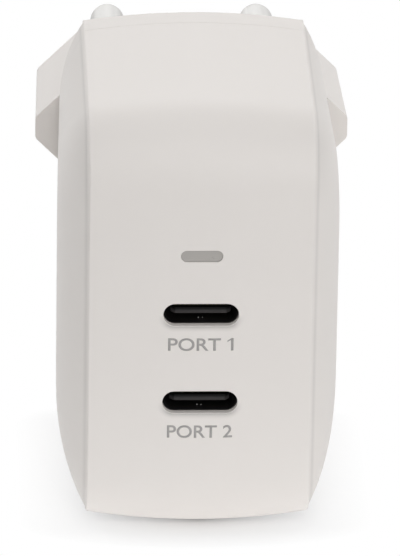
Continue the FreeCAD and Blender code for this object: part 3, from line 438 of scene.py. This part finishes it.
@dataclass(frozen=True)
class TonguePlastic(Moulded):
    """Dull black plastic of a port tongue, with painted shade towards its top edge, behind the
    slot's lip.
    """

    middle: float = 0.0
    # Colour painted as lit on the lower part; the top edge keeps the darker colour as painted shade.
    lit: Colour = (0.053, 0.050, 0.050)
    gleam: float = 0.1
    dim_from: float = 0.20 * MM
    lit_from: float = -0.10 * MM

    def sockets(self, graph: Graph) -> dict[str, Given]:
        """Paints shade into the colour, darker towards the top edge, and dulls the gloss of moulded
        plastic.

        Args:
            graph: Node tree of the material.

        Returns:
            Inputs of the shader, by name.
        """
        *_, z = graph.axes()
        down = (self.middle + self.dim_from - z) / (self.dim_from - self.lit_from)
        graded = graph.blend(down.at_least(0.0).at_most(1.0), self.colour, self.lit)
        return super().sockets(graph) | {"Base Color": graded, "Specular IOR Level": self.gleam}


@dataclass(frozen=True)
class DrawnMetal(Finish):
    """Plated or bare metal with fine drawing or turning lines along one axis."""

    along: Axis = Axis.Y
    line: float = 0.08 * MM
    run: float = 0.04
    line_depth: float = 0.002 * MM
    line_gloss: float = 0.12
    tarnish: float = 0.08
    tarnish_patch: float = 2 * MM
    edge: float = 1.0

    def sockets(self, graph: Graph) -> dict[str, Given]:
        """Draws the lines and lays patches of tarnish.

        Args:
            graph: Node tree of the material.

        Returns:
            Inputs of the shader, by name.
        """
        stretch = tuple(self.run if axis is self.along else 1.0 for axis in Axis)
        lines = graph.noise(graph.place(stretch), self.line)
        dull = graph.noise(graph.place(), self.tarnish_patch)
        spread = (lines - MIDDLE) * self.line_gloss + (dull - MIDDLE) * self.tarnish
        return {
            "Base Color": graph.blend(dull, shade(self.colour, 1 - self.tarnish), self.colour),
            "Metallic": 1.0,
            "Roughness": self.roughness + spread,
            "Specular Tint": (self.edge, self.edge, self.edge, 1.0),
            "Normal": graph.bump(lines, self.line_depth),
        }


@dataclass(frozen=True)
class Laminate(Finish):
    """Circuit board: lacquer over copper tracks that show as paler lines."""

    track: Colour = (0.060, 0.240, 0.090)
    pitch: float = 1.3 * MM
    track_share: float = 0.22
    track_height: float = 0.02 * MM
    weave: float = 0.3 * MM
    weave_gloss: float = 0.2

    def sockets(self, graph: Graph) -> dict[str, Given]:
        """Lays the tracks on a grid, over the weave of the cloth.

        Args:
            graph: Node tree of the material.

        Returns:
            Inputs of the shader, by name.
        """
        settings = {"distance": "CHEBYCHEV", "feature": "DISTANCE_TO_EDGE"}
        inputs = {"Vector": graph.place(), "Scale": 1 / self.pitch, "Randomness": 0.0}
        cells = graph.out(graph.node("ShaderNodeTexVoronoi", settings, inputs))
        near = cells < self.track_share
        cloth = graph.noise(graph.place(), self.weave)
        return {
            "Base Color": graph.blend(near * cloth, self.colour, self.track),
            "Roughness": self.roughness + (cloth - MIDDLE) * self.weave_gloss,
            "Normal": graph.bump(near, self.track_height),
        }


@dataclass(frozen=True)
class Wound(Finish):
    """Wire or tape laid in even turns along one axis."""

    turn: float = 0.6 * MM
    along: Axis = Axis.Y
    metallic: float = 0.0
    gap_shade: float = 0.75
    turn_height: float = 0.05 * MM
    turn_gloss: float = 0.1
    stray: float = 0.4
    wave_cycles: float = 20.0

    def sockets(self, graph: Graph) -> dict[str, Given]:
        """Lays the turns as bands, darker in the gaps between them.

        Args:
            graph: Node tree of the material.

        Returns:
            Inputs of the shader, by name.
        """
        settings = {"wave_type": "BANDS", "bands_direction": self.along.value}
        scale = math.tau / self.wave_cycles / self.turn
        inputs = {"Vector": graph.place(), "Scale": scale, "Distortion": self.stray}
        bands = graph.out(graph.node("ShaderNodeTexWave", settings, inputs), "Fac")
        return {
            "Base Color": graph.blend(bands, shade(self.colour, self.gap_shade), self.colour),
            "Metallic": self.metallic,
            "Roughness": self.roughness + (bands - MIDDLE) * self.turn_gloss,
            "Normal": graph.bump(bands, self.turn_height),
        }


FINISHES: dict[Slot, Finish] = {
    # The housing's plastic carries painted shade in the creases, on the shoulders and under the
    # slots.
    Slot.HOUSING: HousingPlastic((0.742, 0.708, 0.680), 0.50, mottle=0.008),
    Slot.PIN_METAL: DrawnMetal((0.54, 0.535, 0.525), 0.55, tarnish=0.04, edge=0.6),
    Slot.SLEEVE: Moulded((0.70, 0.68, 0.65), 0.40),
    Slot.STRIP_BRASS: DrawnMetal((0.72, 0.55, 0.28), 0.34),
    Slot.LIGHT_GUIDE: Moulded((0.385, 0.366, 0.346), 0.30, grain=0.3 * MM, mottle=0.02),
    Slot.LAMP: Moulded((0.80, 0.74, 0.42), 0.25),
    Slot.BOARD: Laminate((0.020, 0.110, 0.045), 0.38),
    Slot.BLACK_PLASTIC: Moulded((0.011, 0.0105, 0.011), 0.56, mottle=0.10),
    Slot.FERRITE: Moulded(
        (0.060, 0.060, 0.064), 0.55, grain=0.25 * MM, grain_depth=0.02 * MM, mottle=0.15),
    Slot.WINDING_TAPE: Wound((0.72, 0.50, 0.07), 0.30, turn=0.9 * MM),
    Slot.CAN_SLEEVE: Moulded((0.030, 0.034, 0.048), 0.26),
    Slot.CAN_METAL: DrawnMetal((0.72, 0.72, 0.73), 0.32),
    Slot.COPPER_WIRE: Wound((0.62, 0.26, 0.11), 0.28, metallic=1.0),
    Slot.FILM_BOX: Moulded((0.66, 0.53, 0.07), 0.34),
    Slot.DISC_COAT: Moulded((0.06, 0.16, 0.42), 0.28, grain_depth=0.02 * MM),
    Slot.FUSE_BODY: Moulded((0.66, 0.66, 0.64), 0.36),
    Slot.IRON_POWDER: Moulded(
        (0.10, 0.10, 0.105), 0.60, grain=0.3 * MM, grain_depth=0.03 * MM, mottle=0.20),
    Slot.PORT_METAL: DrawnMetal((0.105, 0.100, 0.100), 0.42),
    Slot.CONTACT_GOLD: DrawnMetal((0.74, 0.56, 0.24), 0.28),
}
# The tongues' plastic carries painted shade, darker towards the top edge.
TONGUE_PLASTIC = TonguePlastic((0.004, 0.004, 0.004), 0.56)
LABEL_INK = Moulded((0.335, 0.325, 0.315), 0.55, grain=0.05 * MM, mottle=0.05)


class PaintShelf:
    """Materials that are made once for each slot and handed out by node."""

    def __init__(self) -> None:
        """Reads each node's slot from the record."""
        rows = frame["record"]["subparts"]
        self.slots = {row["node"]: Slot(row["material_slot"]) for row in rows}
        self.made: dict[Slot, bpy.types.Material] = {}

    def for_slot(self, slot: Slot) -> bpy.types.Material:
        """Material of a slot, made when it is first asked for.

        Args:
            slot: Slot of the record.

        Returns:
            The same material each time.
        """
        if slot not in self.made:
            self.made[slot] = FINISHES[slot].material(slot.value)
        return self.made[slot]

    def for_node(self, node: str) -> bpy.types.Material:
        """Material of a CAD node."""
        return self.for_slot(self.slots[node])


def paint(piece: bpy.types.Object, material: bpy.types.Material) -> None:
    """Gives a piece one material in place of what it had."""
    piece.data.materials.clear()
    piece.data.materials.append(material)


def shade_smooth(piece: bpy.types.Object) -> None:
    """Lets the shading run on from face to face."""
    for face in piece.data.polygons:
        face.use_smooth = True


def new_piece(name: str, form: bmesh.types.BMesh) -> bpy.types.Object:
    """Turns a finished form into a piece of the scene.

    Args:
        name: Name of the piece.
        form: Its shape in metres, which is freed.

    Returns:
        The piece, at the origin.
    """
    mesh = bpy.data.meshes.new(name)
    bmesh.ops.recalc_face_normals(form, faces=form.faces)
    form.to_mesh(mesh)
    form.free()
    piece = bpy.data.objects.new(name, mesh)
    bpy.context.scene.collection.objects.link(piece)
    return piece


@dataclass
class SubAssembly:
    """CAD pieces that come apart together on a bench, and what is modelled on them."""

    weld: float = 0.0005 * MM
    sharp_deg: float = 28.0

    def nodes(self) -> tuple[str, ...]:
        """Names of its CAD pieces."""
        raise NotImplementedError

    def build(self, shelf: PaintShelf) -> None:
        """Models pieces of its own, if it has any."""

    def material(self, node: str, shelf: PaintShelf) -> bpy.types.Material:
        """Material of one of its CAD pieces, by its slot."""
        return shelf.for_node(node)

    def dress(self, shelf: PaintShelf) -> None:
        """Gives each CAD piece its finish and smooth shading between sharp edges.

        Args:
            shelf: Where the materials come from.
        """
        for node in self.nodes():
            piece = frame["nodes"][node]
            paint(piece, self.material(node, shelf))
            self.smooth(piece)
            LOG.info("dressed %s as %s", node, shelf.slots[node].value)

    def smooth(self, piece: bpy.types.Object) -> None:
        """Shades curved faces smoothly and keeps real edges crisp.

        Args:
            piece: CAD node, whose own vertices stay as they are.
        """
        shade_smooth(piece)
        join = piece.modifiers.new("join", "WELD")
        join.merge_threshold = self.weld
        split = piece.modifiers.new("edges", "EDGE_SPLIT")
        split.split_angle = math.radians(self.sharp_deg)
        weight = piece.modifiers.new("normals", "WEIGHTED_NORMAL")
        weight.mode = "FACE_AREA"
        weight.keep_sharp = True


@dataclass
class Housing(SubAssembly):
    """Front casing with its crowned band, and the rear cover with the plug body."""

    band_width: float = BAND_WIDTH
    crown: float = 1.0 * MM

    def nodes(self) -> tuple[str, ...]:
        """Names of its CAD pieces."""
        return "front_casing", "rear_cover"

    def front_at(self, x: float) -> float:
        """Where the crowned front lies along Y.

        Args:
            x: Distance from the middle of the front.

        Returns:
            Y of the front face there.
        """
        half = self.band_width / 2
        radius = (half ** 2 + self.crown ** 2) / (2 * self.crown)
        return CAD_BOX[0].y + radius - math.sqrt(radius ** 2 - x ** 2)


@dataclass
class MainsPlug(SubAssembly):
    """Contact pins with their sleeves and the strips that lead to the board."""

    def nodes(self) -> tuple[str, ...]:
        """Names of its CAD pieces."""
        return both_sides("contact_pin", "pin_sleeve", "contact_strip")


@dataclass
class Indicator(SubAssembly):
    """Light bar in the front and the lamp behind it."""

    def nodes(self) -> tuple[str, ...]:
        """Names of its CAD pieces."""
        return "light_guide", "indicator_led"


@dataclass
class PortLabel:
    """Printed word below a port, wrapped on the crowned front.

    Weight and the sizes after it are in the typeface's own units, the others in metres.
    """

    words: str
    name: str
    width: float = 7.3 * MM
    height: float = 1.55 * MM
    drop: float = 3.58 * MM
    ink_depth: float = 0.03 * MM
    proud: float = 0.012 * MM
    weight: float = 0.012
    merge: float = 0.003
    stem_reach: float = 0.16
    flag_length: float = 0.17
    flag_fall: float = 0.13
    stroke: float = 0.085
    lap: float = 0.03

    def letters(self) -> bmesh.types.BMesh:
        """Flat letters in the typeface's own units.

        Returns:
            The letters, with a flag on the numeral 1, whose stem is bare in the typeface.
        """
        curve = bpy.data.curves.new(self.name, "FONT")
        curve.body = self.words
        curve.offset = self.weight
        carrier = bpy.data.objects.new(self.name + "_text", curve)
        bpy.context.scene.collection.objects.link(carrier)
        bpy.context.view_layer.update()
        set_text = carrier.evaluated_get(bpy.context.evaluated_depsgraph_get())
        mesh = bpy.data.meshes.new_from_object(set_text)
        bpy.data.objects.remove(carrier)
        form = bmesh.new()
        form.from_mesh(mesh)
        bpy.data.meshes.remove(mesh)
        bmesh.ops.remove_doubles(form, verts=form.verts, dist=self.merge)
        if self.words.endswith("1"):
            self.add_flag(form)
        return form

    def add_flag(self, form: bmesh.types.BMesh) -> None:
        """Adds the slanted stroke at the top of a numeral 1.

        Args:
            form: Letters that end in the numeral's stem.
        """
        right = max(vert.co.x for vert in form.verts)
        stem = [vert.co for vert in form.verts if vert.co.x > right - self.stem_reach]
        left, top = min(place.x for place in stem), max(place.y for place in stem)
        near, far = left + self.lap, left - self.flag_length
        low = top - self.flag_fall
        outline = ((near, top), (far, low), (far, low - self.stroke), (near, top - self.stroke))
        form.faces.new([form.verts.new((x, y, 0.0)) for x, y in outline])

    def fit(self, form: bmesh.types.BMesh) -> None:
        """Centres the letters, brings them to their real size and stands them up.

        Args:
            form: Flat letters.
        """
        low = Vector(min(vert.co[i] for vert in form.verts) for i in range(3))
        high = Vector(max(vert.co[i] for vert in form.verts) for i in range(3))
        bmesh.ops.translate(form, verts=form.verts, vec=-(low + high) / 2)
        size = (self.width / (high.x - low.x), self.height / (high.y - low.y), 1.0)
        bmesh.ops.scale(form, verts=form.verts, vec=size)
        bmesh.ops.rotate(form, verts=form.verts, matrix=Matrix.Rotation(math.pi / 2, 3, "X"))

    def thicken(self, form: bmesh.types.BMesh) -> None:
        """Gives the ink its depth.

        Args:
            form: Upright letters with no thickness.
        """
        raised = bmesh.ops.extrude_face_region(form, geom=form.faces[:], use_keep_orig=True)
        sunk = [item for item in raised["geom"] if isinstance(item, bmesh.types.BMVert)]
        bmesh.ops.translate(form, verts=sunk, vec=(0.0, self.ink_depth, 0.0))

    def build(self, housing: Housing, shell: str) -> bpy.types.Object:
        """Makes the label and sets it on the front.

        Args:
            housing: Housing that carries it.
            shell: Port shell that it stands under.

        Returns:
            The finished piece.
        """
        form = self.letters()
        self.fit(form)
        self.thicken(form)
        middle = middle_z(shell) - self.drop
        for vert in form.verts:
            vert.co += Vector((0.0, housing.front_at(vert.co.x) - self.proud, middle))
        label = new_piece(self.name, form)
        paint(label, LABEL_INK.material(self.name + "_ink"))
        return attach(label, ROOT)


@dataclass(kw_only=True)
class ChargePort(SubAssembly):
    """One slot port: shell, tongue, contacts, two spring tips and the printed word."""

    level: Level
    words: str
    housing: Housing
    tips: tuple[tuple[float, float], ...] = ((-0.24 * MM, 0.085 * MM), (0.22 * MM, 0.062 * MM))
    tip_depth: float = 2.3 * MM
    tip_rings: int = 12
    tip_flare: float = 1.2
    tip_root: float = 0.03 * MM
    opening_half: float = 1.28 * MM

    def nodes(self) -> tuple[str, ...]:
        """Names of its CAD pieces."""
        return tuple(self.level.piece(name) for name in ("shell", "tongue", "contacts"))

    def material(self, node: str, shelf: PaintShelf) -> bpy.types.Material:
        """Material of one of its CAD pieces.

        Args:
            node: Name of the piece.
            shelf: Where the materials of the slots come from.

        Returns:
            The slot's material, or for the tongue its own plastic with painted shade.
        """
        if node != self.level.piece("tongue"):
            return super().material(node, shelf)
        return replace(TONGUE_PLASTIC, middle=middle_z(node)).material(node)

    def build(self, shelf: PaintShelf) -> None:
        """Prints the word below the port and sets the spring tips on the floor of the shell.

        Args:
            shelf: Where the materials come from.
        """
        shell = self.level.piece("shell")
        label = PortLabel(self.words, self.level.piece("label")).build(self.housing, shell)
        tips = self.spring_tips(shell)
        paint(tips, shelf.for_slot(Slot.PIN_METAL))
        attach(tips, ROOT)
        LOG.info("built %s and %s", label.name, tips.name)

    def spring_tips(self, shell: str) -> bpy.types.Object:
        """Two spring tips on the floor of a port, pressed up as domes with a flared root.

        Args:
            shell: Node that they stand in.

        Returns:
            The piece that holds both.
        """
        floor = middle_z(shell) - self.opening_half
        form = bmesh.new()
        for x, radius in self.tips:
            self.press_tip(form, Vector((x, CAD_BOX[0].y + self.tip_depth, floor)), radius)
        piece = new_piece(self.level.piece("spring_tips"), form)
        shade_smooth(piece)
        return piece

    def press_tip(self, form: bmesh.types.BMesh, place: Vector, radius: float) -> None:
        """Adds one tip.

        Args:
            form: Shape that it is added to, closed so far.
            place: Middle of its foot.
            radius: Radius of its dome.
        """
        ball = bmesh.ops.create_uvsphere(
            form, u_segments=self.tip_rings, v_segments=self.tip_rings, radius=radius,
            matrix=Matrix.Translation(place))
        faces = dict.fromkeys(face for vert in ball["verts"] for face in vert.link_faces)
        edges = dict.fromkeys(edge for face in faces for edge in face.edges)
        bmesh.ops.bisect_plane(
            form, geom=[*ball["verts"], *edges, *faces], dist=self.weld, plane_co=place,
            plane_no=(0.0, 0.0, 1.0), clear_inner=True)
        rim = [edge for edge in form.edges if edge.is_boundary]
        skirt = bmesh.ops.extrude_edge_only(form, edges=rim)["geom"]
        foot = [item for item in skirt if isinstance(item, bmesh.types.BMVert)]
        flare = (self.tip_flare, self.tip_flare, 1.0)
        bmesh.ops.scale(form, verts=foot, vec=flare, space=Matrix.Translation(-place))
        bmesh.ops.translate(form, verts=foot, vec=(0.0, 0.0, -self.tip_root))
        bmesh.ops.holes_fill(form, edges=[edge for edge in form.edges if edge.is_boundary])


@dataclass
class PowerSupply(SubAssembly):
    """Both boards with everything that is soldered to them."""

    singles: tuple[str, ...] = (
        "port_board", "main_board", "board_link", "bridge_rectifier", "power_switch",
        "output_rectifier", "port_controller", "film_capacitor", "disc_capacitor", "line_fuse",
        "transformer_core_front", "transformer_core_rear", "transformer_bobbin",
        "transformer_winding", "filter_choke_core", "filter_choke_winding",
    )
    pairs: tuple[str, ...] = ("bulk_capacitor", "output_capacitor", "buck_inductor")

    def nodes(self) -> tuple[str, ...]:
        """Names of its CAD pieces."""
        return self.singles + both_sides(*self.pairs)


def direction(azimuth_deg: float, elevation_deg: float) -> Vector:
    """Way from the charger to a lamp or the camera.

    Args:
        azimuth_deg: Angle from the front to the right.
        elevation_deg: Angle above the floor.

    Returns:
        A vector of length 1.
    """
    turn, rise = math.radians(azimuth_deg), math.radians(elevation_deg)
    across = math.cos(rise)
    return Vector((math.sin(turn) * across, -math.cos(turn) * across, math.sin(rise)))


def place_light(light: bpy.types.Light, where: Matrix) -> None:
    """Adds a light that the camera doesn't see.

    Args:
        light: Light with its size and power.
        where: Its place and turn.
    """
    holder = bpy.data.objects.new(light.name, light)
    holder.matrix_world = where
    holder.visible_camera = False
    bpy.context.scene.collection.objects.link(holder)
    LOG.info("placed the light %s", light.name)


@dataclass(frozen=True)
class Lamp:
    """Soft square lamp that looks at the charger."""

    name: str
    azimuth_deg: float
    elevation_deg: float
    power: float
    size: float = 0.5
    distance: float = 0.9

    def hang(self, target: Vector) -> None:
        """Hangs the lamp.

        Args:
            target: Point that it looks at.
        """
        light = bpy.data.lights.new(self.name, "AREA")
        light.energy = self.power
        light.size = self.size
        way = direction(self.azimuth_deg, self.elevation_deg)
        facing = (-way).to_track_quat("-Z", "Y").to_matrix().to_4x4()
        place_light(light, Matrix.Translation(target + way * self.distance) @ facing)


@dataclass(frozen=True)
class FloorCard:
    """Glowing card that lies on the floor before the charger and fills its underside."""

    power: float = 0.0020
    width: float = 60 * MM
    reach: float = 30 * MM
    under: float = 4.5 * MM
    lift: float = 0.2 * MM

    def lay(self) -> None:
        """Lays the card face up, with its near edge under the rounded foot."""
        light = bpy.data.lights.new("card", "AREA")
        light.shape = "RECTANGLE"
        light.energy = self.power
        light.size, light.size_y = self.width, self.reach
        place = Matrix.Translation((0.0, CAD_BOX[0].y + self.under - self.reach / 2, self.lift))
        place_light(light, place @ Matrix.Rotation(math.pi, 4, "X"))


@dataclass
class Studio:
    """Pale floor, soft lamps and white surround."""

    floor_half: float = 3.0
    floor_colour: Colour = (0.86, 0.86, 0.86)
    white: float = 1.0
    white_most: float = 1.0
    white_least: float = 0.165
    shade_start: float = 4 * MM
    shade_end: float = 31 * MM
    shade_ahead: float = 6.5 * MM
    shade_aside: float = 20 * MM
    lamps: tuple[Lamp, ...] = (
        Lamp("top", 0.0, 88.0, 2.22),
        Lamp("front_high", 0.0, 50.0, 2.15),
        Lamp("front_low", 0.0, 12.0, 0.86),
        Lamp("front_right", 30.0, 12.0, 1.81),
        Lamp("left_low", -75.0, 8.0, 1.46),
        Lamp("right_low", 75.0, 8.0, 1.40),
        Lamp("back_left", -135.0, 30.0, 2.52),
        Lamp("back_right", 135.0, 30.0, 1.95),
        Lamp("back", 180.0, 40.0, 1.53),
    )
    card: FloorCard = FloorCard()

    def build_floor(self) -> None:
        """Lays a floor that shows white and keeps the shadow."""
        form = bmesh.new()
        bmesh.ops.create_grid(form, x_segments=1, y_segments=1, size=self.floor_half)
        floor = new_piece("floor", form)
        floor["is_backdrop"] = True
        material = bpy.data.materials.new("floor")
        material.use_nodes = True
        graph = Graph(material.node_tree)
        matt = graph.node("ShaderNodeBsdfDiffuse", inputs={"Color": (*self.floor_colour, 1.0)})
        white = graph.node("ShaderNodeEmission", inputs={"Strength": self.white})
        surface = graph.mixed(graph.shown() * self.whiteness(graph), matt, white)
        graph.node("ShaderNodeOutputMaterial", inputs={"Surface": surface})
        paint(floor, material)

    def whiteness(self, graph: Graph) -> Value:
        """How much plain white the floor shows.

        Args:
            graph: Node tree of the floor.

        Returns:
            Least at the middle of the foot, where the shadow is deepest, and more away from it.
        """
        x, y, _ = graph.axes()
        middle = CAD_BOX[0].y + (self.shade_start + self.shade_end) / 2
        half = (self.shade_end - self.shade_start) / 2
        ahead = (abs(y - middle) - half).at_least(0.0) / self.shade_ahead
        aside = x / self.shade_aside
        away = (ahead * ahead + aside * aside).root().at_most(1.0)
        return self.white_least + away * (self.white_most - self.white_least)

    def build_surround(self) -> None:
        """White all round that shows and is mirrored, but lights nothing."""
        world = bpy.data.worlds.new("surround")
        bpy.context.scene.world = world
        world.use_nodes = True
        graph = Graph(world.node_tree)
        dark = graph.node("ShaderNodeBackground", inputs={"Strength": 0.0})
        white = graph.node("ShaderNodeBackground", inputs={"Strength": self.white})
        surround = graph.mixed(graph.shown(), dark, white)
        graph.node("ShaderNodeOutputWorld", inputs={"Surface": surround})

    def build(self) -> None:
        """Sets floor, surround and lamps."""
        self.build_floor()
        self.build_surround()
        for lamp in self.lamps:
            lamp.hang((CAD_BOX[0] + CAD_BOX[1]) / 2)
        self.card.lay()


@dataclass
class PhotoCamera:
    """Long-lens camera at the photograph's viewing angle."""

    lens_mm: float = 493.34
    azimuth_deg: float = -2.51
    elevation_deg: float = 24.066
    roll_deg: float = 0.878
    distance: float = 0.84496
    target_x: float = -0.207 * MM
    target_z: float = 32.202 * MM

    def build(self) -> None:
        """Places the camera and makes it the scene's own."""
        back = direction(self.azimuth_deg, self.elevation_deg)
        right = (-back).cross(Vector((0.0, 0.0, 1.0))).normalized()
        right = Matrix.Rotation(math.radians(self.roll_deg), 3, back) @ right
        axes = Matrix((right, back.cross(right), back)).transposed().to_4x4()
        target = Vector((self.target_x, CAD_BOX[0].y, self.target_z))
        data = bpy.data.cameras.new("photo")
        data.lens = self.lens_mm
        camera = bpy.data.objects.new("photo", data)
        camera.matrix_world = Matrix.Translation(target + back * self.distance) @ axes
        bpy.context.scene.collection.objects.link(camera)
        bpy.context.scene.camera = camera


def write_sizes() -> None:
    """Gathers the CAD box and the dressed box as lists of corners, which are not kept."""
    boxes = {"cad": CAD_BOX, "visual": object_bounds()}
    {name: [list(corner) for corner in box] for name, box in boxes.items()}


def main() -> None:
    """Sets the studio, then builds and dresses the sub-assemblies in order."""
    logging.basicConfig(level=logging.INFO)
    bpy.context.scene.view_settings.view_transform = "Standard"
    PhotoCamera().build()
    Studio().build()
    shelf = PaintShelf()
    housing = Housing()
    assemblies = (
        housing,
        MainsPlug(),
        Indicator(),
        ChargePort(level=Level.UPPER, words="PORT 1", housing=housing),
        ChargePort(level=Level.LOWER, words="PORT 2", housing=housing),
        PowerSupply(),
    )
    for assembly in assemblies:
        assembly.build(shelf)
        assembly.dress(shelf)
    dressed = sum(len(assembly.nodes()) for assembly in assemblies)
    LOG.info("dressed %d of %d CAD pieces", dressed, len(shelf.slots))
    write_sizes()


if __name__ == "__main__":
    main()
